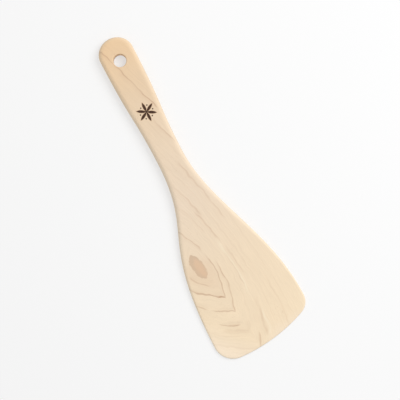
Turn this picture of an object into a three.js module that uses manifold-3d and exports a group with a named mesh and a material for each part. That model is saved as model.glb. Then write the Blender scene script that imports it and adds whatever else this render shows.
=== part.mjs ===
// A wooden wok turner, made as the real one is: one maple board sawn to outline, planed to a wedge at
// the blade, rounded over along every edge and bored for hanging.
// Millimetres, +Z up. The underside lies on the XY plane, the handle points along +Y, and the origin is
// under the middle of the board.

import * as THREE from "three";
import { mergeVertices } from "three/addons/utils/BufferGeometryUtils.js";
import Module from "manifold-3d";

// Driving dimensions. Places along the turner are measured from the tip of the handle.
const OVERALL_LENGTH = 305;
const HANDLE_WIDTH = 32;
const HANDLE_END_DEPTH = 15;
const WAIST_WIDTH = 24.8;
const WAIST_FROM_TIP = 118;
const HANDLE_THICKNESS = 9.5;

// The blade reaches further to the right of the handle's centre line than to the left.
const LEFT_REACH = 42.9;
const LEFT_CORNER_RADIUS = 18;
const RIGHT_REACH = 48.9;
const RIGHT_CORNER_RADIUS = 14;

// The front edge is convex, to follow the curve of a wok, and slants so that its left corner leads.
const FRONT_RADIUS = 151;
const FRONT_SLANT = THREE.MathUtils.degToRad(6.1);
const LIP_THICKNESS = 2.6;
const TAPER_FROM_TIP = 128;

const EDGE_RADIUS = 4;
const HOLE_DIAMETER = 11.5;
const HOLE_FROM_TIP = 21.9;
const HOLE_RIM_RADIUS = 0.9;

// Each side of the handle and of the shoulder is a curve that starts and ends along the centre line, and
// holds each of those directions over a share of its length.
const HANDLE_HOLD = { start: 0.6, end: 0.47 };
const LEFT_SHOULDER_HOLD = { start: 0.43, end: 0.65 };
const RIGHT_SHOULDER_HOLD = { start: 0.33, end: 0.4 };

// An edge is rounded by no more than this share of the board's thickness, so the lip keeps a narrow wall.
const ROUNDED_SHARE = 0.46;

// Facets along the five curves of a side, round an edge, round the hole and round its rims
const SIDE_STEPS = { end: 10, handle: 10, shoulder: 26, corner: 8, front: 8 };
const EDGE_STEPS = 5;
const HOLE_STEPS = 40;
const RIM_STEPS = 3;

const MAPLE = new THREE.MeshStandardMaterial({ color: 0xebd5b8, roughness: 0.6, metalness: 0 });

const FRONT_CENTRE = new THREE.Vector2(
  -FRONT_RADIUS * Math.sin(FRONT_SLANT),
  FRONT_RADIUS - OVERALL_LENGTH,
);

// The left side is drawn to the right and mirrored, so it sees the front edge's centre mirrored too.
const LEFT_SIDE = {
  reach: LEFT_REACH,
  cornerRadius: LEFT_CORNER_RADIUS,
  shoulderHold: LEFT_SHOULDER_HOLD,
  frontX: -FRONT_CENTRE.x,
};
const RIGHT_SIDE = {
  reach: RIGHT_REACH,
  cornerRadius: RIGHT_CORNER_RADIUS,
  shoulderHold: RIGHT_SHOULDER_HOLD,
  frontX: FRONT_CENTRE.x,
};

const wasm = await Module();
wasm.setup();

// A curve between two points of a side, parallel to the centre line at both
function sweep(start, end, hold) {
  const length = start.y - end.y;
  return new THREE.CubicBezierCurve(
    start,
    new THREE.Vector2(start.x, start.y - hold.start * length),
    new THREE.Vector2(end.x, end.y + hold.end * length),
    end,
  );
}

// The right side of the outline, as curves from the tip of the handle to the middle of the front edge.
// The corner's arc touches the blade's side and the front edge's arc.
function sideCurves({ reach, cornerRadius, shoulderHold, frontX }) {
  const cornerX = reach - cornerRadius;
  const drop = Math.sqrt((FRONT_RADIUS - cornerRadius) ** 2 - (cornerX - frontX) ** 2);
  const corner = new THREE.Vector2(cornerX, FRONT_CENTRE.y - drop);
  const turn = Math.atan2(corner.y - FRONT_CENTRE.y, corner.x - frontX);
  const middle = -Math.acos(-frontX / FRONT_RADIUS);
  const handle = new THREE.Vector2(HANDLE_WIDTH / 2, -HANDLE_END_DEPTH);
  const waist = new THREE.Vector2(WAIST_WIDTH / 2, -WAIST_FROM_TIP);
  const blade = new THREE.Vector2(reach, corner.y);
  return {
    end: new THREE.EllipseCurve(0, handle.y, handle.x, HANDLE_END_DEPTH, Math.PI / 2, 0, true),
    handle: sweep(handle, waist, HANDLE_HOLD),
    shoulder: sweep(waist, blade, shoulderHold),
    corner: new THREE.EllipseCurve(corner.x, corner.y, cornerRadius, cornerRadius, 0, turn, true),
    front: new THREE.EllipseCurve(frontX, FRONT_CENTRE.y, FRONT_RADIUS, FRONT_RADIUS, turn, middle, true),
  };
}

// Stations along a side: a point of the outline and the direction from it into the board
function sideStations(curves, mirror) {
  const stations = [];
  for (const [name, curve] of Object.entries(curves)) {
    const first = stations.length ? 1 : 0;
    for (let step = first; step <= SIDE_STEPS[name]; step += 1) {
      const share = step / SIDE_STEPS[name];
      const point = curve.getPoint(share);
      const along = curve.getTangent(share);
      stations.push({
        point: new THREE.Vector2(mirror * point.x, point.y),
        inward: new THREE.Vector2(mirror * along.y, -along.x),
      });
    }
  }
  return stations;
}

// The board is even along the handle, then thins in one long S to the lip.
function thicknessAt(y) {
  const fall = THREE.MathUtils.smoothstep(-y, TAPER_FROM_TIP, OVERALL_LENGTH);
  return THREE.MathUtils.lerp(HANDLE_THICKNESS, LIP_THICKNESS, fall);
}

// A point of the rounded edge at a station. Rings are counted from the underside, round the edge, to the
// top face, and the two middle rings bound the upright wall between the two round-overs.
function edgePoint({ point, inward }, ring) {
  const above = ring - EDGE_STEPS - 1;
  const turned = (above >= 0 ? above : EDGE_STEPS - ring) / EDGE_STEPS;
  const angle = (turned * Math.PI) / 2;
  const radius = Math.min(EDGE_RADIUS, ROUNDED_SHARE * thicknessAt(point.y));
  const inset = radius * (1 - Math.cos(angle));
  const fromFace = radius * (1 - Math.sin(angle));
  const place = point.clone().addScaledVector(inward, inset);
  const height = above >= 0 ? thicknessAt(place.y) - fromFace : fromFace;
  return new THREE.Vector3(place.x, place.y, height);
}

// The board without its hole: rings round the edge, closed above and below by rungs from side to side
function boardGeometry() {
  const right = sideStations(sideCurves(RIGHT_SIDE), 1);
  const left = sideStations(sideCurves(LEFT_SIDE), -1);
  const outline = [...right, ...left.slice(1, -1).reverse()];
  const count = outline.length;
  const topRing = 2 * EDGE_STEPS + 1;
  const points = [];
  for (let ring = 0; ring <= topRing; ring += 1) {
    points.push(...outline.map((station) => edgePoint(station, ring)));
  }

  const triangles = [];
  for (let ring = 0; ring < topRing; ring += 1) {
    for (let here = 0; here < count; here += 1) {
      const next = (here + 1) % count;
      const low = ring * count;
      const high = low + count;
      triangles.push(low + here, high + here, high + next);
      triangles.push(low + here, high + next, low + next);
    }
  }

  // Rung i joins station i of the right side to station i of the left, and both sides share their ends.
  const top = topRing * count;
  const last = right.length - 1;
  for (let rung = 0; rung < last; rung += 1) {
    const leftHere = (count - rung) % count;
    const leftNext = count - rung - 1;
    if (rung > 0) {
      triangles.push(top + rung, top + leftHere, top + leftNext);
      triangles.push(rung, leftNext, leftHere);
    }
    if (rung < last - 1) {
      triangles.push(top + rung, top + leftNext, top + rung + 1);
      triangles.push(rung, rung + 1, leftNext);
    }
  }

  const board = new THREE.BufferGeometry().setFromPoints(points);
  board.setIndex(triangles);
  return board;
}

// The space of the hanging hole: a straight bore that flares at both faces, so that it leaves round rims
function holeGeometry() {
  const bore = HOLE_DIAMETER / 2;
  const mouth = bore + HOLE_RIM_RADIUS;
  const rimAt = (share) => {
    const angle = (share * Math.PI) / 2;
    const radius = mouth - HOLE_RIM_RADIUS * Math.cos(angle);
    return { radius, fromFace: HOLE_RIM_RADIUS * (1 - Math.sin(angle)) };
  };
  const rim = Array.from({ length: RIM_STEPS + 1 }, (_, step) => rimAt(step / RIM_STEPS));
  const beyond = HANDLE_THICKNESS + HOLE_RIM_RADIUS;
  const profile = [
    new THREE.Vector2(0, -HOLE_RIM_RADIUS),
    new THREE.Vector2(mouth, -HOLE_RIM_RADIUS),
    ...rim.toReversed().map((p) => new THREE.Vector2(p.radius, p.fromFace)),
    ...rim.map((p) => new THREE.Vector2(p.radius, HANDLE_THICKNESS - p.fromFace)),
    new THREE.Vector2(mouth, beyond),
    new THREE.Vector2(0, beyond),
  ];
  const hole = new THREE.LatheGeometry(profile, HOLE_STEPS);
  hole.rotateX(Math.PI / 2);
  hole.translate(0, -HOLE_FROM_TIP, 0);
  return hole;
}

function solidOf(geometry) {
  geometry.deleteAttribute("normal");
  geometry.deleteAttribute("uv");
  const merged = mergeVertices(geometry);
  const vertProperties = new Float32Array(merged.getAttribute("position").array);
  const triVerts = new Uint32Array(merged.getIndex().array);
  return new wasm.Manifold(new wasm.Mesh({ numProp: 3, vertProperties, triVerts }));
}

function geometryOf(solid) {
  const { vertProperties, triVerts } = solid.getMesh();
  const geometry = new THREE.BufferGeometry();
  geometry.setAttribute("position", new THREE.BufferAttribute(vertProperties, 3));
  geometry.setIndex(new THREE.BufferAttribute(triVerts, 1));
  geometry.computeVertexNormals();
  return geometry;
}

function turnerBody() {
  const bored = solidOf(boardGeometry()).subtract(solidOf(holeGeometry()));
  const body = new THREE.Mesh(geometryOf(bored), MAPLE);
  body.name = "turner_body";
  const middle = new THREE.Box3().setFromObject(body).getCenter(new THREE.Vector3());
  body.position.set(-middle.x, -middle.y, 0);
  return body;
}

const turner = new THREE.Group();
turner.name = "wok_turner";
turner.add(turnerBody());

export default turner;
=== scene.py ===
"""A wooden wok turner lying on a pale floor, laid out as a Blender add-on.

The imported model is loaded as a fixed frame. One operator shapes the board's fine surface over it, with its
maple finish, and one sets the stage. Everything is in metres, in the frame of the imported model: the handle
points along +Y, the underside lies on the XY plane, and the top face looks along +Z."""

import math
from typing import NamedTuple

import bpy
import numpy as np
from bpy.props import FloatProperty, FloatVectorProperty, PointerProperty
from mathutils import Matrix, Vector


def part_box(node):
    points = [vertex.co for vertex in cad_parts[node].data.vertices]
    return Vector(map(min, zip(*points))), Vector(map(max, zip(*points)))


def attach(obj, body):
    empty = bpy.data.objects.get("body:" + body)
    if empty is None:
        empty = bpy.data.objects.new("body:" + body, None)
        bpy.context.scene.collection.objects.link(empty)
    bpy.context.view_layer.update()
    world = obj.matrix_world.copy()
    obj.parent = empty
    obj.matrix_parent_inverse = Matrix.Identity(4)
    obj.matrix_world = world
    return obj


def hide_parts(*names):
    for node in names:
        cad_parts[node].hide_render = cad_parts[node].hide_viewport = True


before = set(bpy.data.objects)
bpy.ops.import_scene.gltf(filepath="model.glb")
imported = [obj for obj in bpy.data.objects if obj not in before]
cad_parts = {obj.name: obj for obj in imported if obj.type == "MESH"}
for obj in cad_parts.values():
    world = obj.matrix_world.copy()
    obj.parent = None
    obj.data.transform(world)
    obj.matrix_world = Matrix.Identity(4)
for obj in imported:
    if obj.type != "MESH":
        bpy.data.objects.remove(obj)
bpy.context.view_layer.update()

bl_info = {
    "name": "Wok turner",
    "version": (1, 0, 0),
    "blender": (4, 5, 0),
    "location": "3D View > Sidebar > Wok turner",
    "description": "Shapes a one-piece maple wok turner over its packed model and sets a plain stage for it",
    "category": "Object",
}

MM = 0.001

# The box of the whole CAD model, and that of its one node
BODY_LOW, BODY_HIGH = (Vector(corner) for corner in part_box("turner_body"))

# Steps of the board's grid: along a side, across half a face, round an edge, down its wall or the hole's, and
# round the hole's rims. A side is measured along curves of finer steps.
SIDE_STEPS = 400
FACE_STEPS = 22
EDGE_STEPS = 10
WALL_STEPS = 4
RIM_STEPS = 6
CURVE_STEPS = 500

# An edge is rounded by no more than this share of the thickness, so that the lip keeps a narrow wall.
ROUNDED_SHARE = 0.46

# Rungs end on the hole's rim as far down the side as this, and ease back to level over the stretch after it.
FAN_LENGTH = 52 * MM
FAN_EASE = 80 * MM

# From the knee on, rungs turn towards the front edge, and the middle line stops short of it.
KNEE_FROM_FRONT = 43 * MM
MIDDLE_FROM_FRONT = 13 * MM

# Hand planing leaves waves across the board, which sway along it, and weaker ones along it, which slant.
CROSS_WAVE = 29 * MM
SWAY_WAVE = 131 * MM
SWAY_TURN = 1.4
LONG_WAVE = 53 * MM
SLANT_WAVE = 97 * MM
CROSS_PART = 0.6

# On the map for baking, a plan of this size, its edges unrolled, fills this share of the width and height.
PLAN_SIZE = np.array([96, 313]) * MM
PLAN_SHARE = np.array([0.48, 0.98])
TOP_MIDDLE = (0.25, 0.5)
UNDER_MIDDLE = (0.75, 0.5)

# Points that agree to this many decimals of a metre are one point.
MERGE_DECIMALS = 7

# The floor lies this far below the underside, so that the two don't fall together.
FLOOR_GAP = 0.1 * MM


def screen_colour(red, green, blue):
    """A colour written as screen values from 0 to 255, as the linear values of the sRGB curve, which
    Blender's sockets take"""
    screen = np.array([red, green, blue]) / 255
    linear = np.where(screen <= 0.04045, screen / 12.92, ((screen + 0.055) / 1.055) ** 2.4)
    return tuple(linear.tolist())


def length(name, description, default):
    """A property that holds a length in metres"""
    return FloatProperty(
        name=name, description=description, default=default, min=0.0, unit="LENGTH", precision=5
    )


def share(name, description, default):
    """A property that holds a share from 0 to 1"""
    return FloatProperty(
        name=name, description=description, default=default, min=0.0, max=1.0, subtype="FACTOR"
    )


def angle(name, description, default):
    """A property that holds an angle, with its default in degrees"""
    return FloatProperty(name=name, description=description, default=math.radians(default), unit="ROTATION")


def location(name, description, *default):
    """A property that holds a place in metres"""
    return FloatVectorProperty(
        name=name, description=description, default=default, subtype="TRANSLATION", unit="LENGTH", precision=5
    )


def colour(name, description, *screen):
    """A property that holds a colour, with its default in screen values"""
    return FloatVectorProperty(
        name=name,
        description=description,
        default=screen_colour(*screen),
        min=0.0,
        max=1.0,
        subtype="COLOR",
    )


class BoardSizes(bpy.types.PropertyGroup):
    """Sizes of the board. Places along it are measured from the tip of the handle."""

    overall_length: length(
        "Overall length", "From the handle's tip to the foremost point of the lip", BODY_HIGH.y - BODY_LOW.y
    )
    handle_width: length("Handle width", "Width at the end of the handle", 32 * MM)
    handle_end_depth: length("Handle end depth", "Depth of the handle's half-round end", 15 * MM)
    waist_width: length("Waist width", "Width of the handle where it is narrowest", 24.8 * MM)
    waist_from_tip: length("Waist from tip", "Where the handle is narrowest", 118 * MM)
    handle_thickness: length(
        "Handle thickness", "Thickness of the board at the handle", BODY_HIGH.z - BODY_LOW.z
    )
    lip_thickness: length("Lip thickness", "Thickness of the blade at its front edge", 2.6 * MM)
    taper_from_tip: length("Taper from tip", "Where the board starts to thin towards the lip", 128 * MM)
    left_reach: length("Left reach", "How far the blade reaches left of the handle's middle", 42.9 * MM)
    left_corner: length("Left corner", "Radius of the blade's left corner", 18 * MM)
    right_reach: length("Right reach", "How far the blade reaches right of the handle's middle", 48.9 * MM)
    right_corner: length("Right corner", "Radius of the blade's right corner", 14 * MM)
    front_radius: length("Front radius", "Radius of the convex front edge", 151 * MM)
    front_slant: angle("Front slant", "Turn of the front edge, so that its left corner leads", 6.1)
    handle_hold_start: share("Handle hold, end", "Share over which it leaves its end straight", 0.6)
    handle_hold_end: share("Handle hold, waist", "Share over which it meets its waist straight", 0.47)
    left_hold_start: share("Left shoulder hold, waist", "Share over which it leaves the waist straight", 0.43)
    left_hold_end: share("Left shoulder hold, blade", "Share over which it meets the blade straight", 0.65)
    right_hold_start: share(
        "Right shoulder hold, waist", "Share over which it leaves the waist straight", 0.33
    )
    right_hold_end: share("Right shoulder hold, blade", "Share over which it meets the blade straight", 0.4)
    edge_radius: length("Edge radius", "Round-over along every edge", 4 * MM)
    hole_diameter: length("Hole diameter", "Bore of the hanging hole", 11.5 * MM)
    hole_from_tip: length("Hole from tip", "Middle of the hanging hole", 21.9 * MM)
    hole_rim: length("Hole rim", "Radius of the hole's eased rims", 0.9 * MM)
    planing: length("Planing marks", "Height of the shallow waves that hand planing leaves", 0.05 * MM)


class MapleLook(bpy.types.PropertyGroup):
    """Colours of the maple and of the ornament burned into it"""

    corner_tone: colour("Corner", "Palest wood, at the blade's left corner", 250, 231, 205)
    front_tone: colour("Front", "Pale wood along the front of the blade", 245, 224, 193)
    blade_tone: colour("Blade", "Plain wood of the blade", 241, 220, 191)
    neck_tone: colour("Neck", "Plain wood of the neck, a little cooler", 236, 216, 192)
    handle_tone: colour("Handle", "Plain wood of the lower handle", 234, 212, 185)
    grip_tone: colour("Grip", "Darker wood of the upper handle", 232, 206, 174)
    tip_tone: colour("Handle tip", "Warm wood round the hanging hole", 235, 203, 164)
    ring_tone: colour("Growth rings", "Dark line at the end of a growth ring", 196, 160, 130)
    heart_tone: colour("Heart patch", "Patch where a ring is cut along its face", 223, 190, 158)
    heart_rim_tone: colour("Heart rim", "Greyer rim of the heart patch", 211, 184, 156)
    # Pale growth rings take this tone, and so do the rounded edges, where it is partly sanding wear and
    # partly a painted highlight.
    pale_ring_and_edge_highlight_tone: colour("Sanded edge", "Paler wood along the rounded edges", 246, 231, 204)
    end_tone: colour("End grain", "Darker wood where the fibres end", 206, 176, 142)
    burn_tone: colour("Burned ornament", "Scorched wood of the ornament", 50, 22, 6)
    toast_tone: colour("Toasted fringe", "Wood that the heat has browned round the ornament", 178, 126, 78)
    ornament_radius: length("Ornament radius", "Length of the burned ornament's petals", 9.2 * MM)
    ornament_from_tip: length("Ornament from tip", "Middle of the burned ornament", 73.4 * MM)


class StageLook(bpy.types.PropertyGroup):
    """The floor, the light and the camera"""

    floor_tone: colour("Floor", "Pale floor under the turner", 250, 250, 250)
    floor_size: length("Floor size", "Side of the square floor", 6.0)
    floor_glow: share("Floor glow", "How far the floor that is seen is lit by itself", 0.6)
    sky_light: FloatProperty(name="Sky light", description="Even light from all round", default=0.6, min=0.0)
    key_light: FloatProperty(
        name="Key light", description="Power of the large soft lamp", default=8.4, min=0.0, unit="POWER"
    )
    key_size: length("Key size", "Diameter of the large soft lamp", 0.9)
    key_place: location("Key place", "Where the large soft lamp hangs", 0.75, 0.1, 0.95)
    target: location("Target", "Point that the camera looks at", 3.0 * MM, -11.9 * MM, 4.0 * MM)
    azimuth: angle("Azimuth", "Turn of the camera round the turner", -27.52)
    elevation: angle("Elevation", "Height of the camera above the floor", 88.0)
    distance: length("Distance", "From the camera to the point that it looks at", 1331.9 * MM)
    lens: FloatProperty(name="Lens", description="Focal length of the camera", default=135.0, unit="CAMERA")
    sensor: FloatProperty(name="Sensor", description="Width of its sensor", default=36.0, unit="CAMERA")


class Side(NamedTuple):
    """One side of the board, drawn to the right. The left side is drawn so too, and then mirrored."""

    reach: float
    corner: float
    hold_start: float
    hold_end: float
    front_x: float


class Outline(NamedTuple):
    """Stations along a side: points evenly spaced by length, the directions from them into the board, and
    their distances along the side"""

    points: np.ndarray
    inward: np.ndarray
    along: np.ndarray


class Grid(NamedTuple):
    """A grid of points, their places on the plans of the top and of the underside, and how pale their edge
    is, partly from sanding wear and partly as a painted highlight. Columns before the split lie on the top's
    plan, and a flipped grid is wound the other way round."""

    points: np.ndarray
    top_plan: np.ndarray
    under_plan: np.ndarray
    wear_and_highlight: np.ndarray
    split: int
    flipped: bool


def board_sides(sizes):
    """The right and the left side. The left one sees the middle of the front edge's circle mirrored."""
    front_x = -sizes.front_radius * math.sin(sizes.front_slant)
    right = Side(
        sizes.right_reach, sizes.right_corner, sizes.right_hold_start, sizes.right_hold_end, front_x
    )
    left = Side(sizes.left_reach, sizes.left_corner, sizes.left_hold_start, sizes.left_hold_end, -front_x)
    return right, left


def smooth_share(values, start, end):
    """0 before start, 1 after end, and 3q² - 2q³ between them, where q is the share of the way"""
    way = np.clip((values - start) / (end - start), 0, 1)
    return way * way * (3 - 2 * way)


def arc(centre, radii, first, last):
    """Points of an ellipse: its middle plus each radius times the cosine and the sine of an even angle"""
    angles = np.linspace(first, last, CURVE_STEPS)
    return np.stack([centre[0] + radii[0] * np.cos(angles), centre[1] + radii[1] * np.sin(angles)], axis=1)


def sweep(start, end, hold_start, hold_end):
    """A cubic curve between two ends, drawn by two handles along the centre line, each a share of its length
    long: the four points weighed by the terms of the cube of (1 - q) + q, where q is the share of the way"""
    drop = start[1] - end[1]
    handles = np.array(
        [start, (start[0], start[1] - hold_start * drop), (end[0], end[1] + hold_end * drop), end]
    )
    way = np.linspace(0, 1, CURVE_STEPS)[:, None]
    weights = np.hstack([(1 - way) ** 3, 3 * way * (1 - way) ** 2, 3 * way**2 * (1 - way), way**3])
    return weights @ handles


def side_outline(sizes, side):
    """A side from the tip to the middle of the front edge: a quarter ellipse, a sweep to the waist, a sweep
    to the blade, the corner's arc and the front edge's arc, which touches the corner's"""
    front_y = sizes.front_radius - sizes.overall_length
    corner_x = side.reach - side.corner
    drop = math.sqrt((sizes.front_radius - side.corner) ** 2 - (corner_x - side.front_x) ** 2)
    corner_y = front_y - drop
    turn = math.atan2(-drop, corner_x - side.front_x)
    middle = -math.acos(-side.front_x / sizes.front_radius)
    handle = (sizes.handle_width / 2, -sizes.handle_end_depth)
    waist = (sizes.waist_width / 2, -sizes.waist_from_tip)
    curves = [
        arc((0, handle[1]), (handle[0], sizes.handle_end_depth), math.pi / 2, 0),
        sweep(handle, waist, sizes.handle_hold_start, sizes.handle_hold_end),
        sweep(waist, (side.reach, corner_y), side.hold_start, side.hold_end),
        arc((corner_x, corner_y), (side.corner, side.corner), 0, turn),
        arc((side.front_x, front_y), (sizes.front_radius, sizes.front_radius), turn, middle),
    ]
    line = np.vstack(curves)
    walked = np.concatenate([[0], np.cumsum(np.linalg.norm(np.diff(line, axis=0), axis=1))])
    along = np.linspace(0, walked[-1], SIDE_STEPS + 1)
    points = np.stack([np.interp(along, walked, line[:, 0]), np.interp(along, walked, line[:, 1])], axis=1)
    points[[0, -1], 0] = 0
    heading = np.gradient(points, axis=0)
    inward = np.stack([heading[:, 1], -heading[:, 0]], axis=1)
    inward[0] = (0, -1)
    inward[-1] = (side.front_x, front_y - points[-1, 1])
    inward /= np.linalg.norm(inward, axis=1, keepdims=True)
    return Outline(points, inward, along)


def board_thickness(sizes, y):
    """Even along the handle, then one long S down to the lip"""
    fall = smooth_share(-y, sizes.taper_from_tip, sizes.overall_length)
    return sizes.handle_thickness + (sizes.lip_thickness - sizes.handle_thickness) * fall


def middle_line(sizes, right, left):
    """Where the rungs of the two halves meet, and the last rung of the hole's rim. The first rungs end round
    that rim, at even angles from its top to its bottom. The next ones end on the centre line, at the mean of
    the two sides' places, to which the hole's bottom eases back. From the knee on, they end at even steps up
    to the line's own end."""
    mouth = sizes.hole_diameter / 2 + sizes.hole_rim
    along = (right.along + left.along) / 2
    level = (right.points[:, 1] + left.points[:, 1]) / 2
    fan = int(np.searchsorted(along, FAN_LENGTH))
    angles = math.pi / 2 - math.pi * np.arange(fan + 1) / fan
    x = np.zeros_like(level)
    x[: fan + 1] = mouth * np.cos(angles)
    x[[0, fan]] = 0
    lift = -sizes.hole_from_tip - mouth - level[fan]
    y = level + lift * (1 - smooth_share(along, along[fan], along[fan] + FAN_EASE))
    y[: fan + 1] = -sizes.hole_from_tip + mouth * np.sin(angles)
    knee = int(np.searchsorted(-level, sizes.overall_length - KNEE_FROM_FRONT))
    y[knee:] = np.linspace(y[knee], MIDDLE_FROM_FRONT - sizes.overall_length, len(y) - knee)
    return np.stack([x, y], axis=1), fan


def half_board(sizes, outline, middle, mirror):
    """Half of the board, as a grid of stations along its side by places round its section. A section starts
    on the middle line, crosses the top face, goes round the edge by a quarter circle, an upright wall and
    another quarter circle, and returns across the underside. The plans have the edge unrolled outwards. The
    wear and highlight, a paler rounded edge that is partly sanding wear and partly a painted highlight, is
    the cosine of the turn from the wall times the sine of twice that turn."""
    thickness = board_thickness(sizes, outline.points[:, 1])[:, None]
    radius = np.minimum(sizes.edge_radius, ROUNDED_SHARE * thickness)
    across = np.linspace(0, 1, FACE_STEPS + 1)[None, :, None]
    turn = np.linspace(math.pi / 2, 0, EDGE_STEPS + 1)[None, 1:]
    unturn = np.linspace(0, math.pi / 2, EDGE_STEPS + 1)[None, 1:]
    fall = np.linspace(0, 1, WALL_STEPS + 1)[None, 1:]

    def inset(amount):
        return outline.points[:, None, :] + outline.inward[:, None, :] * amount[:, :, None]

    start = middle[:, None, :]
    face = start + (inset(radius) - start) * across
    over = inset(radius * (1 - np.cos(turn)))
    wall = inset(np.zeros_like(radius * fall))
    under = inset(radius * (1 - np.cos(unturn)))
    back = face[:, -2::-1]
    place = np.concatenate([face, over, wall, under, back], axis=1)

    wall_top = thickness - radius
    wall_height = wall_top - radius
    height = np.concatenate(
        [
            board_thickness(sizes, face[:, :, 1]),
            board_thickness(sizes, over[:, :, 1]) - radius * (1 - np.sin(turn)),
            wall_top - wall_height * fall,
            radius * (1 - np.sin(unturn)),
            np.zeros(back.shape[:2]),
        ],
        axis=1,
    )

    quarter = radius * math.pi / 2
    walked = np.concatenate(
        [
            radius * (math.pi / 2 - turn),
            quarter + wall_height * fall,
            quarter + wall_height + radius * unturn,
        ],
        axis=1,
    )
    whole = 2 * quarter + wall_height
    top_plan = np.concatenate([face, inset(radius - walked), back], axis=1)
    under_plan = np.concatenate([face, inset(radius - (whole - walked)), back], axis=1)

    # The rounded edges are made paler, partly as sanding wear and partly as a painted highlight.
    turns = np.concatenate([turn, np.zeros_like(fall), unturn], axis=1)
    worn_and_highlit = np.broadcast_to(np.cos(turns) * np.sin(2 * turns), walked.shape)
    plain = np.zeros(face.shape[:2])
    wear_and_highlight = np.concatenate([plain, worn_and_highlit, plain[:, 1:]], axis=1)

    flip = np.array([mirror, 1])
    points = np.concatenate([place * flip, height[:, :, None]], axis=2)
    split = FACE_STEPS + EDGE_STEPS + WALL_STEPS // 2
    return Grid(points, top_plan * flip, under_plan * flip, wear_and_highlight, split, mirror < 0)


def half_hole(sizes, rim, mirror):
    """Half of the hole's lining, as a grid of places on its rim by places down it: a quarter circle from the
    top face into the bore, the straight bore, and a quarter circle out to the underside. The plans have it
    unrolled towards the hole's middle."""
    mouth = sizes.hole_diameter / 2 + sizes.hole_rim
    centre = np.array([0, -sizes.hole_from_tip])
    outward = (rim - centre) / mouth
    turn = np.linspace(0, math.pi / 2, RIM_STEPS + 1)
    fall = np.linspace(0, 1, WALL_STEPS + 1)[1:-1]
    bore = sizes.handle_thickness - 2 * sizes.hole_rim
    dip = sizes.hole_rim * (1 - np.cos(turn))
    step = sizes.hole_rim * np.sin(turn)
    height = np.concatenate([sizes.handle_thickness - dip, sizes.hole_rim + bore * (1 - fall), dip[::-1]])
    radius = mouth - np.concatenate([step, np.full_like(fall, sizes.hole_rim), step[::-1]])
    quarter = sizes.hole_rim * turn
    whole = 2 * quarter[-1] + bore
    walked = np.concatenate([quarter, quarter[-1] + bore * fall, whole - quarter[::-1]])
    flip = np.array([mirror, 1])

    def ring(distance):
        return (centre + outward[:, None, :] * distance[None, :, None]) * flip

    place = ring(radius)
    level = np.broadcast_to(height[None, :, None], (*place.shape[:2], 1))
    points = np.concatenate([place, level], axis=2)
    wear_and_highlight = np.zeros(place.shape[:2])
    split = RIM_STEPS + WALL_STEPS // 2
    return Grid(points, ring(mouth - walked), ring(mouth - (whole - walked)), wear_and_highlight, split, mirror > 0)


def board_grids(sizes):
    """The two halves of the board, which meet on the middle line, and the two halves of the hole's lining"""
    right, left = (side_outline(sizes, side) for side in board_sides(sizes))
    middle, fan = middle_line(sizes, right, left)
    rim = middle[: fan + 1]
    return [
        half_board(sizes, right, middle, 1),
        half_board(sizes, left, middle, -1),
        half_hole(sizes, rim, 1),
        half_hole(sizes, rim, -1),
    ]


def grid_faces(grid, first):
    """The grid's quads, wound so that they face outwards, and which of them lie on the top's plan"""
    rows, columns = grid.points.shape[:2]
    index = first + np.arange(rows * columns).reshape(rows, columns)
    quads = np.stack([index[:-1, :-1], index[1:, :-1], index[1:, 1:], index[:-1, 1:]], axis=2)
    if grid.flipped:
        quads = quads[:, :, ::-1]
    on_top = np.broadcast_to(np.arange(columns - 1) < grid.split, quads.shape[:2])
    return quads.reshape(-1, 4), on_top.reshape(-1)


def planed(sizes, points):
    """The points with the shallow waves of hand planing: two sines, one across the board that sways along it
    and one along it that slants, raising each point by its share of the board's thickness"""
    x, y, z = points.T
    sway = SWAY_TURN * np.sin(2 * math.pi * y / SWAY_WAVE)
    across = np.sin(2 * math.pi * x / CROSS_WAVE + sway)
    lengthwise = np.sin(2 * math.pi * y / LONG_WAVE + 2 * math.pi * x / SLANT_WAVE)
    wave = sizes.planing * (CROSS_PART * across + (1 - CROSS_PART) * lengthwise)
    return np.stack([x, y, z + wave * z / board_thickness(sizes, y)], axis=1)


def check_closed(faces):
    """An error unless every edge of the faces is shared by two of them"""
    edges = np.sort(np.stack([faces, np.roll(faces, -1, axis=1)], axis=2).reshape(-1, 2), axis=1)
    _, uses = np.unique(edges, axis=0, return_counts=True)
    if not np.all(uses == 2):
        raise RuntimeError("the board's surface isn't closed")


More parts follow.
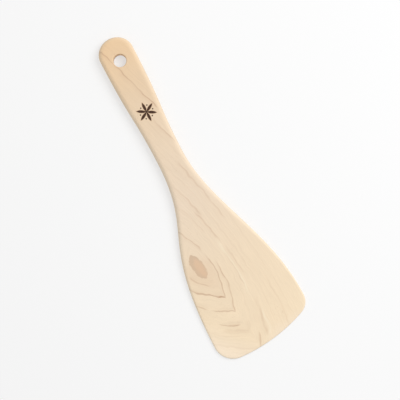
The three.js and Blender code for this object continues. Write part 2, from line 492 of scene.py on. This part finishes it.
def board_mesh(sizes):
    """The board's grids as one mesh. Points that fall together are merged, and the plans of the top and of
    the underside lie side by side on the map for baking."""
    grids = board_grids(sizes)
    firsts = np.cumsum([0] + [grid.wear_and_highlight.size for grid in grids])
    wound = [grid_faces(grid, first) for grid, first in zip(grids, firsts)]
    faces = np.vstack([quads for quads, _ in wound])
    on_top = np.concatenate([tops for _, tops in wound])[:, None, None]
    points = planed(sizes, np.vstack([grid.points.reshape(-1, 3) for grid in grids]))
    top_plan = np.vstack([grid.top_plan.reshape(-1, 2) for grid in grids])
    under_plan = np.vstack([grid.under_plan.reshape(-1, 2) for grid in grids])
    wear_and_highlight = np.concatenate([grid.wear_and_highlight.reshape(-1) for grid in grids])

    shift = np.array([BODY_LOW.x + sizes.left_reach, BODY_HIGH.y])
    points[:, :2] += shift
    points[:, 2] += BODY_LOW.z
    spots = np.where(on_top, top_plan[faces], under_plan[faces]) + shift
    spots = spots * (PLAN_SHARE / PLAN_SIZE) + np.where(on_top, TOP_MIDDLE, UNDER_MIDDLE)

    near = np.round(points, MERGE_DECIMALS)
    _, kept, merged = np.unique(near, axis=0, return_index=True, return_inverse=True)
    faces = merged.reshape(-1)[faces]
    check_closed(faces)

    mesh = bpy.data.meshes.new("turner_board")
    mesh.from_pydata(points[kept], [], faces)
    mesh.polygons.foreach_set("use_smooth", np.ones(len(faces), dtype=bool))
    mesh.uv_layers.new(name="OFBake").data.foreach_set("uv", spots.reshape(-1))
    # This attribute carries the paler rounded edges, partly sanding wear and partly a painted highlight.
    mesh.attributes.new("edge_wear_and_highlight", "FLOAT", "POINT").data.foreach_set("value", wear_and_highlight[kept])
    mesh.update()
    return mesh


class Noise(NamedTuple):
    """Smooth noise in the wood: its cells to a millimetre along the fibres, across them and by depth, its
    finer layers and how strong they are, and where its depth starts, which picks another stretch of it"""

    along: float
    across: float
    depth: float
    detail: float
    roughness: float = 0.5
    start: float = 0.0


class Span(NamedTuple):
    """A range of values, and what its start and its end are turned into"""

    start: float
    end: float
    low: float = 0.0
    high: float = 1.0


Socket = bpy.types.NodeSocket


class Finish:
    """A node tree with short calls for the nodes that a finish is written in. A value is a socket or a
    number, and a tone is a socket or three numbers."""

    def __init__(self, tree):
        self.tree = tree
        self.tree.nodes.clear()

    def node(self, kind, sockets=None, **settings):
        made = self.tree.nodes.new(kind)
        for setting, value in settings.items():
            setattr(made, setting, value)
        for socket, value in (sockets or {}).items():
            if isinstance(value, Socket):
                self.tree.links.new(value, made.inputs[socket])
            else:
                made.inputs[socket].default_value = value
        return made

    def math(self, operation, *values):
        return self.node("ShaderNodeMath", dict(enumerate(values)), operation=operation).outputs[0]

    def times(self, first, second):
        return self.math("MULTIPLY", first, second)

    def plus(self, first, second):
        return self.math("ADD", first, second)

    def minus(self, first, second):
        return self.math("SUBTRACT", first, second)

    def scaled(self, value, factor, base):
        return self.math("MULTIPLY_ADD", value, factor, base)

    def vector(self, operation, first, second):
        return self.node("ShaderNodeVectorMath", {0: first, 1: second}, operation=operation).outputs

    def joined(self, x, y, z):
        return self.node("ShaderNodeCombineXYZ", {0: x, 1: y, 2: z}).outputs[0]

    def noise(self, place, detail, roughness=0.5):
        sockets = {"Vector": place, "Scale": 1.0, "Detail": detail, "Roughness": roughness}
        return self.node("ShaderNodeTexNoise", sockets).outputs[0]

    def centred(self, value):
        return self.minus(value, 0.5)

    def ranged(self, value, span, way="SMOOTHSTEP"):
        names = ("Value", "From Min", "From Max", "To Min", "To Max")
        sockets = dict(zip(names, (value, *span)))
        return self.node("ShaderNodeMapRange", sockets, interpolation_type=way).outputs[0]

    def ramp(self, value, stops):
        made = self.node("ShaderNodeValToRGB", {0: value})
        elements = made.color_ramp.elements
        while len(elements) < len(stops):
            elements.new(1.0)
        for element, (place, tone) in zip(elements, stops):
            element.position = place
            element.color = (*tone, 1.0)
        return made.outputs[0]

    def mixed(self, amount, first, second, blend="MIX"):
        # A mix node's sockets for colours come after those for numbers and vectors.
        sockets = {0: amount, 6: self.tone(first), 7: self.tone(second)}
        return self.node("ShaderNodeMix", sockets, data_type="RGBA", blend_type=blend).outputs[2]

    def shaded(self, tone, shade):
        return self.mixed(1.0, tone, self.joined(shade, shade, shade), "MULTIPLY")

    def tone(self, value):
        return value if isinstance(value, Socket) else (*value, 1.0)


# The growth rings. Their heart is where the blade is cut along a ring's face, and the fibres run along the
# board at a small lean. Lengths of the figure are in millimetres.
HEART = (-22.5 * MM, -62.8 * MM, 0.0)
LEAN = math.radians(8.4)
FIBRE_AXIS = (math.sin(LEAN), -math.cos(LEAN), 0.0)
CROSS_AXIS = (math.cos(LEAN), math.sin(LEAN), 0.0)

# A ring is a lens with pointed ends, this share as wide as it is long, and this share as steep on the left.
# The two sides run into each other over a short stretch across the heart.
LENS_SHARE = 0.236
LEFT_SHARE = 0.362
LENS_POWER = 2.46
SIDE_CHANGE = Span(-0.5, 0.5)

# Up the handle the rings level off at this width, and from the bend on they swing across it.
LEVEL_WIDTH = 22.0
BEND_FROM = 100.0
BEND_EASE = 60.0
BEND_SHARE = 0.153

# The fibres wander across, and the rings ripple, by at most half of these reaches to either side.
WANDER = Noise(0.02, 0.04, 0.05, detail=1.0)
WANDER_REACH = 1.6
RIPPLE = Noise(0.09, 0.12, 0.12, detail=1.2, start=2973.1)
RIPPLE_REACH = 4.6

# Each millimetre of depth pushes the figure on by so many, so the underside shows a related one.
SLANT_ACROSS = 0.8
SLANT_ALONG = 1.6

# A ring's line comes on slowly to a share of its strength, then quickly to the whole of it, and then stops,
# over stretches of so many of its breadths. It is patchy along its way.
SLOW_SHARE = 0.22
SLOW_STRETCH = 6.0
QUICK_STRETCH = 1.3
STOP_STRETCH = 1.1
FADING = Noise(0.06, 0.08, 0.1, detail=2.0)
FADED = Span(0.32, 0.55, 0.5, 1.0)

# Over this share of a mark's length, in its middle, the line shows in full.
FULL_SHARE = 0.55

RIGHT = 1
LEFT = -1


class Mark(NamedTuple):
    """A stretch of a ring where its line shows: its side, its ends along the fibres, and its strength"""

    side: int
    start: float
    end: float
    strength: float


class Ring(NamedTuple):
    """A growth ring: its half-width at the heart, half the breadth of its line, and where the line shows"""

    width: float
    breadth: float
    marks: tuple


WHOLE_BOARD = (-260.0, 140.0)
RINGS = (
    Ring(5.5, 0.9, (Mark(LEFT, 2, 22, 0.4),)),
    Ring(8.2, 0.7, (Mark(RIGHT, -48, -6, 0.45),)),
    Ring(8.4, 0.8, (Mark(RIGHT, -8, 46, 0.62), Mark(LEFT, 2, 46, 0.7), Mark(LEFT, 24, 46, 0.35))),
    Ring(12.3, 0.8, (Mark(RIGHT, 2, 60, 0.6), Mark(LEFT, 38, 60, 0.5), Mark(LEFT, 16, 38, 0.45))),
    Ring(15.9, 0.8, (Mark(LEFT, 52, 65, 0.8),)),
    Ring(17.3, 3.0, (Mark(RIGHT, 62, 82, 0.12), Mark(LEFT, 58, 77, 0.2))),
    Ring(18.8, 0.7, (Mark(RIGHT, *WHOLE_BOARD, 0.08), Mark(LEFT, *WHOLE_BOARD, 0.12))),
    Ring(19.8, 0.7, (Mark(RIGHT, -54, -16, 0.18),)),
    Ring(21.8, 1.3, (Mark(RIGHT, 76, 104, 0.42), Mark(LEFT, 20, 110, 0.12))),
    Ring(22.4, 0.8, (Mark(RIGHT, 2, 40, 0.25),)),
    Ring(25.6, 0.9, (Mark(RIGHT, -44, -4, 0.38),)),
    Ring(26.3, 2.0, (Mark(RIGHT, 50, 74, 0.12), Mark(RIGHT, 61, 87, 0.32))),
    Ring(27.3, 0.9, (Mark(RIGHT, -76, -30, 0.32), Mark(RIGHT, -4, 32, 0.24))),
    Ring(33.0, 0.8, (Mark(RIGHT, *WHOLE_BOARD, 0.1),)),
    Ring(37.0, 0.8, (Mark(RIGHT, *WHOLE_BOARD, 0.08),)),
    Ring(41.3, 1.0, (Mark(RIGHT, -88, -48, 0.34), Mark(RIGHT, -58, -18, 0.28), Mark(RIGHT, 30, 96, 0.16))),
    Ring(46.5, 0.8, (Mark(RIGHT, *WHOLE_BOARD, 0.08),)),
    Ring(50.9, 0.9, (Mark(RIGHT, -134, -96, 0.42),)),
    Ring(60.2, 0.8, (Mark(RIGHT, -216, -170, 0.6), Mark(RIGHT, -182, -130, 0.7))),
    Ring(66.0, 0.8, (Mark(RIGHT, *WHOLE_BOARD, 0.1),)),
)
PALE_RINGS = (
    Ring(23.8, 1.2, (Mark(RIGHT, -16, 52, 0.6),)),
    Ring(28.2, 1.0, (Mark(RIGHT, 62, 88, 0.7),)),
)

# Fine streaks follow the rings, finer fibres run along the board, and short dark dashes are thicker in some
# places than in others.
STREAKS = Noise(0.045, 1.1, 0.9, detail=4.0, roughness=0.74)
FIBRES = Noise(0.1, 3.2, 3.2, detail=2.0, roughness=0.6)
DASHES = Noise(0.32, 2.1, 1.6, detail=1.0)
DASH = Span(0.62, 0.74)
DASH_PATCHES = Noise(0.03, 0.05, 0.05, detail=1.0)
DASH_PATCH = Span(0.45, 0.7)

# The plain tones lie along the fibres between these two places, further on to the left, and drift to and fro.
TONE_WAY = Span(-220.0, 110.0)
LEFT_LEAD = 1.2
DRIFT = Noise(0.012, 0.07, 0.05, detail=2.0)
DRIFT_REACH = 40.0

# Streaks, and the fibres by this share, shade the plain tones.
FIBRE_SHARE = 0.35
SHADE = Span(0.2, 0.8, 0.93, 1.06)


class Patch(NamedTuple):
    """A blunt lens along the fibres: its middle along and across, half its length and width, and its rim"""

    along: float
    across: float
    half_length: float
    half_width: float
    soft: float


# The patch at the heart reaches a little way below the top face. Its rims are ragged, and the ring round it
# is a little warmer than the plain wood, from just above the heart on.
HEART_PATCH = Patch(0.6, -3.4, 13.2, 5.4, soft=0.16)
HEART_CORE = Patch(2.6, -2.4, 11.4, 4.8, soft=0.75)
HEART_COVER = 0.9
HEART_DEPTH = Span(1.0, 2.5, 1.0, 0.0)
RAGGED = Noise(0.22, 0.5, 0.3, detail=3.0)
RAGGED_REACH = 0.7
RIM_END = 1.04
WARM_RINGS = Span(4.5, 8.6, 0.24, 0.0)
WARM_FROM = Span(-12.0, 4.0)

# How far flecks, and the paler tone of the rounded edges, partly sanding wear and partly a painted
# highlight, cover the wood below them
FLECK_COVER = 0.28
WEAR_AND_HIGHLIGHT_COVER = 0.3

# The fibres end where the surface faces along them, and the pores there are darker.
END_FACING = Span(0.55, 0.98)
PORES = Noise(0.4, 2.6, 2.6, detail=2.0)
PORE = Span(0.4, 0.68, 0.25, 0.75)

# The ornament's burn: the softness of its outline, the breadth of its toasted fringe, the edge of a dot, and
# a dot's place as a share of the radius. A petal is where three circles meet. Only the top face is burned.
BURN_SOFT = 0.12 * MM
BURN_FRINGE = 0.7 * MM
DOT = Span(0.55 * MM, 0.75 * MM, 1.0, 0.0)
DOT_PLACE = 0.66
IN_PETAL = Span(2.3, 2.9)
IN_FRINGE = Span(2.0, 2.9)
TOP_FACING = Span(0.5, 0.7)
TOAST_COVER = 0.45
SCORCH = Span(0.3, 0.7, 1.0, 0.9)

# The sheen and the relief of the oiled surface. Flecks and the burn lie lower, by shares of its height.
ROUGHNESS = Span(0.25, 0.75, 0.5, 0.64)
BURN_ROUGHNESS = 0.2
SPECULAR = 0.25
RELIEF_HEIGHT = 0.15 * MM
RELIEF_STRENGTH = 0.5
STREAK_RISE = 0.3
FLECK_DIP = 0.3
BURN_DIP = 0.8


class Grain(NamedTuple):
    """Sockets that every layer of the wood is drawn by. Along and across are distances from the heart by the
    fibres, and depth is measured from the top face, in millimetres. Rings is the half-width of the growth
    ring through a point, slope is how fast that grows by distance, and right is 1 on the heart's right and 0
    on its left. A layer's noise lies by the fibres or by the rings."""

    along: Socket
    across: Socket
    depth: Socket
    rings: Socket
    slope: Socket
    right: Socket

    @property
    def by_fibres(self):
        return self.along, self.across, self.depth

    @property
    def by_rings(self):
        return self.along, self.rings, self.depth


def wood_noise(finish, noise, place):
    """Noise from 0 to 1 at a place in the wood: each of its distances times its own number of cells"""
    along, across, depth = place
    cells = finish.joined(
        finish.times(along, noise.along),
        finish.times(across, noise.across),
        finish.scaled(depth, noise.depth, noise.start),
    )
    return finish.noise(cells, noise.detail, noise.roughness)


def fibre_place(finish, sizes):
    """Where a point lies by the fibres: along and across from the heart, and below the top face. Across
    wanders a little, and grows past the bend by a share of the way. Depth pushes along and across on."""
    place = finish.node("ShaderNodeTexCoord").outputs["Object"]
    metres = finish.node("ShaderNodeSeparateXYZ", {0: place}).outputs
    taper_start = BODY_HIGH.y - sizes.taper_from_tip
    taper = Span(taper_start, BODY_LOW.y, sizes.handle_thickness, sizes.lip_thickness)
    below = finish.minus(finish.ranged(metres[1], taper), metres[2])
    depth = finish.times(below, 1 / MM)
    from_heart = finish.vector("SUBTRACT", place, HEART)["Vector"]
    along, across = (
        finish.times(finish.vector("DOT_PRODUCT", from_heart, axis)["Value"], 1 / MM)
        for axis in (FIBRE_AXIS, CROSS_AXIS)
    )

    wander = finish.centred(wood_noise(finish, WANDER, (along, across, depth)))
    past_bend = finish.math("SMOOTH_MAX", finish.minus(-BEND_FROM, along), 0.0, BEND_EASE)
    across = finish.scaled(past_bend, BEND_SHARE, across)
    across = finish.scaled(wander, WANDER_REACH, across)
    across = finish.scaled(depth, SLANT_ACROSS, across)
    along = finish.scaled(depth, SLANT_ALONG, along)
    return along, across, depth


def ring_lens(finish, along, across):
    """The lens-shaped ring through a point: its half-width, how fast that grows by distance, and the point's
    side of the heart. With w the distance across, less on the left, and g a share of the distance along,
    which levels off up the handle, the half-width is half the sum of w and of the lens root of w and 2g."""
    wide = finish.math("MAXIMUM", across, finish.times(across, -LEFT_SHARE))
    reach = finish.times(along, LENS_SHARE)
    behind = finish.math("TANH", finish.math("DIVIDE", finish.math("MINIMUM", reach, 0.0), LEVEL_WIDTH))
    levelled = finish.scaled(behind, -LEVEL_WIDTH, finish.math("MAXIMUM", reach, 0.0))
    long = finish.times(levelled, 2.0)
    powers = [finish.math("POWER", distance, LENS_POWER) for distance in (wide, long)]
    root = finish.math("POWER", finish.plus(*powers), 1 / LENS_POWER)
    lens = finish.times(finish.plus(wide, root), 0.5)

    right = finish.ranged(across, SIDE_CHANGE)
    steep = finish.ranged(right, Span(0.0, 1.0, LEFT_SHARE, 1.0), "LINEAR")
    by_width, by_length = (
        finish.math("POWER", finish.math("DIVIDE", distance, root), LENS_POWER - 1)
        for distance in (wide, long)
    )
    rise_across = finish.times(finish.scaled(by_width, 0.5, 0.5), steep)
    rise_along = finish.times(by_length, LENS_SHARE)
    square_along = finish.times(rise_along, rise_along)
    slope = finish.math("SQRT", finish.scaled(rise_across, rise_across, square_along))
    return lens, slope, right


def maple_grain(finish, sizes):
    """The grain at a point. Its ring is the lens through it, pushed out or in by the ripple."""
    place = fibre_place(finish, sizes)
    along, across, depth = place
    lens, slope, right = ring_lens(finish, along, across)
    ripple = finish.centred(wood_noise(finish, RIPPLE, place))
    rings = finish.scaled(finish.times(ripple, RIPPLE_REACH), slope, lens)
    return Grain(along, across, depth, rings, slope, right)


def ring_lines(finish, grain, rings):
    """How strongly the ends of growth rings show. A line comes on slowly from the heart's side, is strongest
    where the ring ends, and stops there. It is drawn by its true distance, so it is as thin at its pointed
    ends as along its flanks, and it shows over its marks alone, fading at both ends of each."""
    left = finish.minus(1.0, grain.right)
    strongest = 0.0
    for ring in rings:
        away = finish.math("DIVIDE", finish.minus(grain.rings, ring.width), grain.slope)
        slow = finish.ranged(away, Span(-SLOW_STRETCH * ring.breadth, 0.0, 0.0, SLOW_SHARE), "LINEAR")
        quick = finish.ranged(away, Span(-QUICK_STRETCH * ring.breadth, 0.0, 0.0, 1 - SLOW_SHARE))
        stop = finish.ranged(away, Span(0.0, STOP_STRETCH * ring.breadth, 1.0, 0.0))
        line = finish.times(finish.plus(slow, quick), stop)
        shows = 0.0
        for mark in ring.marks:
            half = (mark.end - mark.start) / 2
            from_middle = finish.math("ABSOLUTE", finish.minus(grain.along, mark.start + half))
            over = finish.ranged(from_middle, Span(FULL_SHARE * half, half, mark.strength, 0.0))
            beside = grain.right if mark.side == RIGHT else left
            shows = finish.scaled(over, beside, shows)
        strongest = finish.math("MAXIMUM", strongest, finish.times(line, shows))
    fading = wood_noise(finish, FADING, grain.by_fibres)
    return finish.times(strongest, finish.ranged(fading, FADED))


def fibre_flecks(finish, grain):
    """Short dark dashes along the fibres, thicker in some places than in others"""
    dashes = wood_noise(finish, DASHES, grain.by_fibres)
    patches = wood_noise(finish, DASH_PATCHES, grain.by_fibres)
    return finish.times(finish.ranged(dashes, DASH), finish.ranged(patches, DASH_PATCH))


def plain_tone(finish, look, grain):
    """Plain wood, which changes slowly along the fibres from the handle's tip to the front of the blade. Each
    tone has its place as a share of that way."""
    drift = finish.centred(wood_noise(finish, DRIFT, grain.by_rings))
    drifted = finish.scaled(drift, DRIFT_REACH, grain.along)
    lead = finish.math("MAXIMUM", finish.times(grain.across, -LEFT_LEAD), 0.0)
    way = finish.ranged(finish.plus(drifted, lead), TONE_WAY, "LINEAR")
    stops = [
        (0.04, look.tip_tone),
        (0.19, look.grip_tone),
        (0.35, look.handle_tone),
        (0.5, look.neck_tone),
        (0.72, look.blade_tone),
        (0.91, look.front_tone),
        (0.98, look.corner_tone),
    ]
    return finish.ramp(way, stops)


def heart_patch(finish, grain):
    """The patch at the heart, and how far a point of it lies inside its darker rim. Both are blunt lenses
    along the fibres, where the cube of the share along and the share across make less than one."""
    noise = wood_noise(finish, RAGGED, grain.by_fibres)
    ragged = finish.times(finish.centred(noise), RAGGED_REACH)

    def inside(patch):
        long = finish.math("DIVIDE", finish.minus(grain.along, patch.along), patch.half_length)
        wide = finish.math("DIVIDE", finish.minus(grain.across, patch.across), patch.half_width)
        cube = finish.math("POWER", finish.math("ABSOLUTE", long), 3.0)
        rim = finish.plus(cube, finish.math("ABSOLUTE", wide))
        return finish.ranged(finish.plus(rim, ragged), Span(1.0 - patch.soft, RIM_END, 1.0, 0.0))

    shallow = finish.ranged(grain.depth, HEART_DEPTH)
    return finish.times(inside(HEART_PATCH), shallow), inside(HEART_CORE)


def wood_tone(finish, look, grain, streaks, fibres, flecks):
    """The colour of the wood: plain wood under fine shading, then the heart patch with a warm ring round it,
    pale and dark growth rings, and flecks"""
    silk = finish.scaled(finish.centred(fibres), FIBRE_SHARE, streaks)
    tone = finish.shaded(plain_tone(finish, look, grain), finish.ranged(silk, SHADE, "LINEAR"))
    patch, core = heart_patch(finish, grain)
    heart = finish.mixed(core, look.heart_rim_tone, look.heart_tone)
    tone = finish.mixed(finish.times(patch, HEART_COVER), tone, heart)
    warm = finish.ranged(grain.rings, WARM_RINGS)
    warm = finish.times(warm, finish.ranged(grain.along, WARM_FROM))
    tone = finish.mixed(warm, tone, look.heart_tone)
    tone = finish.mixed(ring_lines(finish, grain, PALE_RINGS), tone, look.pale_ring_and_edge_highlight_tone)
    tone = finish.mixed(ring_lines(finish, grain, RINGS), tone, look.ring_tone)
    return finish.mixed(finish.times(flecks, FLECK_COVER), tone, look.ring_tone)


def sanded_and_highlit_tone(finish, look, grain, tone):
    """The wood with darker pores where its fibres end, and paler along its rounded edges, partly from sanding
    wear and partly as a painted highlight
    """
    normal = finish.node("ShaderNodeNewGeometry").outputs["Normal"]
    facing = finish.math("ABSOLUTE", finish.vector("DOT_PRODUCT", normal, FIBRE_AXIS)["Value"])
    pores = finish.ranged(wood_noise(finish, PORES, grain.by_fibres), PORE)
    ends = finish.times(finish.ranged(facing, END_FACING), pores)
    tone = finish.mixed(ends, tone, look.end_tone)
    # Painted highlight: the rounded edges are paler, partly as sanding wear and partly as a painted
    # highlight.
    wear_and_highlight = finish.node("ShaderNodeAttribute", attribute_name="edge_wear_and_highlight").outputs["Fac"]
    return finish.mixed(finish.times(wear_and_highlight, WEAR_AND_HIGHLIGHT_COVER), tone, look.pale_ring_and_edge_highlight_tone)


def burned_ornament(finish, look, sizes):
    """A six-petalled rosette, struck with a pair of compasses: a point is in a petal where it is in three of
    the six equal circles that stand round the middle and pass through it. A dot stands between each two
    petals. The second value is the same figure with wider, softer circles, for the fringe that the heat has
    toasted."""
    place = finish.node("ShaderNodeTexCoord").outputs["Object"]
    flat = finish.vector("MULTIPLY", place, (1.0, 1.0, 0.0))["Vector"]
    radius = look.ornament_radius
    middle = Vector((BODY_LOW.x + sizes.left_reach, BODY_HIGH.y - look.ornament_from_tip, 0.0))
    in_circle = Span(radius - BURN_SOFT, radius + BURN_SOFT, 1.0, 0.0)
    near_circle = Span(radius - BURN_SOFT, radius + BURN_FRINGE, 1.0, 0.0)

    def away(turn, reach):
        stand = middle + reach * Vector((math.cos(turn), math.sin(turn), 0.0))
        return finish.vector("DISTANCE", flat, stand)["Value"]

    circles = 0.0
    fringes = 0.0
    dots = 0.0
    for sixth in range(6):
        turn = math.pi / 6 + sixth * math.pi / 3
        from_circle = away(turn, radius)
        circles = finish.plus(circles, finish.ranged(from_circle, in_circle))
        fringes = finish.plus(fringes, finish.ranged(from_circle, near_circle))
        from_dot = away(turn + math.pi / 6, DOT_PLACE * radius)
        dots = finish.math("MAXIMUM", dots, finish.ranged(from_dot, DOT))
    burn = finish.math("MAXIMUM", finish.ranged(circles, IN_PETAL), dots)
    toast = finish.math("MAXIMUM", finish.ranged(fringes, IN_FRINGE), dots)
    normal = finish.node("ShaderNodeNewGeometry").outputs["Normal"]
    upward = finish.node("ShaderNodeSeparateXYZ", {0: normal}).outputs[2]
    on_top = finish.ranged(upward, TOP_FACING)
    return finish.times(burn, on_top), finish.times(toast, on_top)


def maple_finish(look, sizes):
    """Sanded and oiled maple with an ornament burned into it. The fine layers of the wood's figure shade its
    colour, roughen its sheen and raise its relief, and the burn is rougher and lower than the wood."""
    material = bpy.data.materials.new("sanded_maple")
    material.use_nodes = True
    finish = Finish(material.node_tree)
    grain = maple_grain(finish, sizes)
    streaks = wood_noise(finish, STREAKS, grain.by_rings)
    fibres = wood_noise(finish, FIBRES, grain.by_fibres)
    flecks = fibre_flecks(finish, grain)
    tone = wood_tone(finish, look, grain, streaks, fibres, flecks)
    tone = sanded_and_highlit_tone(finish, look, grain, tone)
    burn, toast = burned_ornament(finish, look, sizes)
    tone = finish.mixed(finish.times(toast, TOAST_COVER), tone, look.toast_tone)
    scorch = finish.times(burn, finish.ranged(streaks, SCORCH))
    tone = finish.mixed(scorch, tone, look.burn_tone)

    rough = finish.ranged(streaks, ROUGHNESS, "LINEAR")
    rough = finish.scaled(burn, BURN_ROUGHNESS, rough)
    relief = finish.scaled(streaks, STREAK_RISE, fibres)
    relief = finish.scaled(flecks, -FLECK_DIP, relief)
    relief = finish.scaled(burn, -BURN_DIP, relief)
    bump = finish.node(
        "ShaderNodeBump", {"Strength": RELIEF_STRENGTH, "Distance": RELIEF_HEIGHT, "Height": relief}
    )
    shader = finish.node(
        "ShaderNodeBsdfPrincipled",
        {"Base Color": tone, "Roughness": rough, "Normal": bump.outputs[0], "Specular IOR Level": SPECULAR},
    )
    finish.node("ShaderNodeOutputMaterial", {"Surface": shader.outputs[0]})
    return material


# The floor's mottle: its finer layers, and the shades that it gives
MOTTLE_DETAIL = 3.0
MOTTLE = Span(0.3, 0.7, 0.97, 1.0)


def seen_directly(finish):
    """1 for what the camera sees, in mirror-like and clear surfaces too, and 0 for the light that falls on
    things"""
    path = finish.node("ShaderNodeLightPath").outputs
    direct = finish.math("MAXIMUM", path["Is Camera Ray"], path["Is Glossy Ray"])
    return finish.math("MAXIMUM", direct, path["Is Transmission Ray"])


def floor_finish(look):
    """A pale floor. What the camera and mirror-like surfaces see of it is partly lit by itself, so it stays
    nearly white and keeps a soft shadow, and a little mottle keeps it from being one flat colour."""
    material = bpy.data.materials.new("pale_floor")
    material.use_nodes = True
    finish = Finish(material.node_tree)
    place = finish.node("ShaderNodeTexCoord").outputs["Object"]
    mottle = finish.ranged(finish.noise(place, MOTTLE_DETAIL), MOTTLE, "LINEAR")
    tone = finish.shaded(look.floor_tone, mottle)
    matt = finish.node("ShaderNodeBsdfDiffuse", {"Color": tone}).outputs[0]
    glow = finish.node("ShaderNodeEmission", {"Color": finish.tone(look.floor_tone)}).outputs[0]
    seen = finish.times(seen_directly(finish), look.floor_glow)
    both = finish.node("ShaderNodeMixShader", {0: seen, 1: matt, 2: glow}).outputs[0]
    finish.node("ShaderNodeOutputMaterial", {"Surface": both})
    return material


def shown(name, data):
    """A new object in the scene"""
    made = bpy.data.objects.new(name, data)
    bpy.context.scene.collection.objects.link(made)
    return made


class TURNER_OT_board(bpy.types.Operator):
    """Shape the board from its sizes and finish it in maple"""

    bl_idname = "wok_turner.board"
    bl_label = "Board"

    def execute(self, context):
        sizes = context.scene.turner_sizes
        board = shown("turner_board", board_mesh(sizes))
        board.data.materials.append(maple_finish(context.scene.turner_look, sizes))
        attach(board, "root")
        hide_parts("turner_body")
        return {"FINISHED"}


class TURNER_OT_stage(bpy.types.Operator):
    """Lay the floor, light the turner and set the camera"""

    bl_idname = "wok_turner.stage"
    bl_label = "Stage"

    def execute(self, context):
        scene = context.scene
        look = scene.turner_stage
        self.lay_floor(look)
        self.light(scene, look)
        self.set_camera(scene, look)
        scene.view_settings.view_transform = "Standard"
        return {"FINISHED"}

    def lay_floor(self, look):
        """A square round the origin, a little below the underside"""
        corners = np.array([(-1, -1, 0), (1, -1, 0), (1, 1, 0), (-1, 1, 0)]) * (look.floor_size / 2)
        corners[:, 2] = BODY_LOW.z - FLOOR_GAP
        mesh = bpy.data.meshes.new("floor")
        mesh.from_pydata(corners, [], [(0, 1, 2, 3)])
        mesh.materials.append(floor_finish(look))
        shown("floor", mesh)

    def light(self, scene, look):
        """Even light from a sky that looks white, and a large soft lamp that faces the origin"""
        world = bpy.data.worlds.new("studio")
        world.use_nodes = True
        finish = Finish(world.node_tree)
        strength = finish.ranged(seen_directly(finish), Span(0.0, 1.0, look.sky_light, 1.0), "LINEAR")
        sky = finish.node("ShaderNodeBackground", {"Color": (1.0, 1.0, 1.0, 1.0), "Strength": strength})
        finish.node("ShaderNodeOutputWorld", {"Surface": sky.outputs[0]})
        scene.world = world
        lamp = bpy.data.lights.new("key", "AREA")
        lamp.shape = "DISK"
        lamp.size = look.key_size
        lamp.energy = look.key_light
        key = shown("key", lamp)
        key.location = look.key_place
        key.rotation_euler = key.location.to_track_quat("Z", "Y").to_euler()

    def set_camera(self, scene, look):
        """The camera stands back from its target by the azimuth and the elevation, and faces it."""
        lens = bpy.data.cameras.new("camera")
        lens.lens = look.lens
        lens.sensor_width = look.sensor
        camera = shown("camera", lens)
        level = math.cos(look.elevation)
        back = Vector(
            (math.sin(look.azimuth) * level, -math.cos(look.azimuth) * level, math.sin(look.elevation))
        )
        camera.location = Vector(look.target) + back * look.distance
        camera.rotation_euler = back.to_track_quat("Z", "Y").to_euler()
        scene.camera = camera


class TURNER_PT_pieces(bpy.types.Panel):
    """The pieces of the turner, in the order in which they are made"""

    bl_idname = "TURNER_PT_pieces"
    bl_label = "Wok turner"
    bl_space_type = "VIEW_3D"
    bl_region_type = "UI"
    bl_category = "Wok turner"

    def draw(self, context):
        for operator in (TURNER_OT_board, TURNER_OT_stage):
            self.layout.operator(operator.bl_idname)


CLASSES = (BoardSizes, MapleLook, StageLook, TURNER_OT_board, TURNER_OT_stage, TURNER_PT_pieces)


def register():
    for part in CLASSES:
        bpy.utils.register_class(part)
    bpy.types.Scene.turner_sizes = PointerProperty(type=BoardSizes)
    bpy.types.Scene.turner_look = PointerProperty(type=MapleLook)
    bpy.types.Scene.turner_stage = PointerProperty(type=StageLook)


def unregister():
    del bpy.types.Scene.turner_stage
    del bpy.types.Scene.turner_look
    del bpy.types.Scene.turner_sizes
    for part in reversed(CLASSES):
        bpy.utils.unregister_class(part)


def main():
    """Makes the pieces and the stage."""
    register()
    bpy.ops.wok_turner.board()
    bpy.ops.wok_turner.stage()


if __name__ == "__main__":
    main()
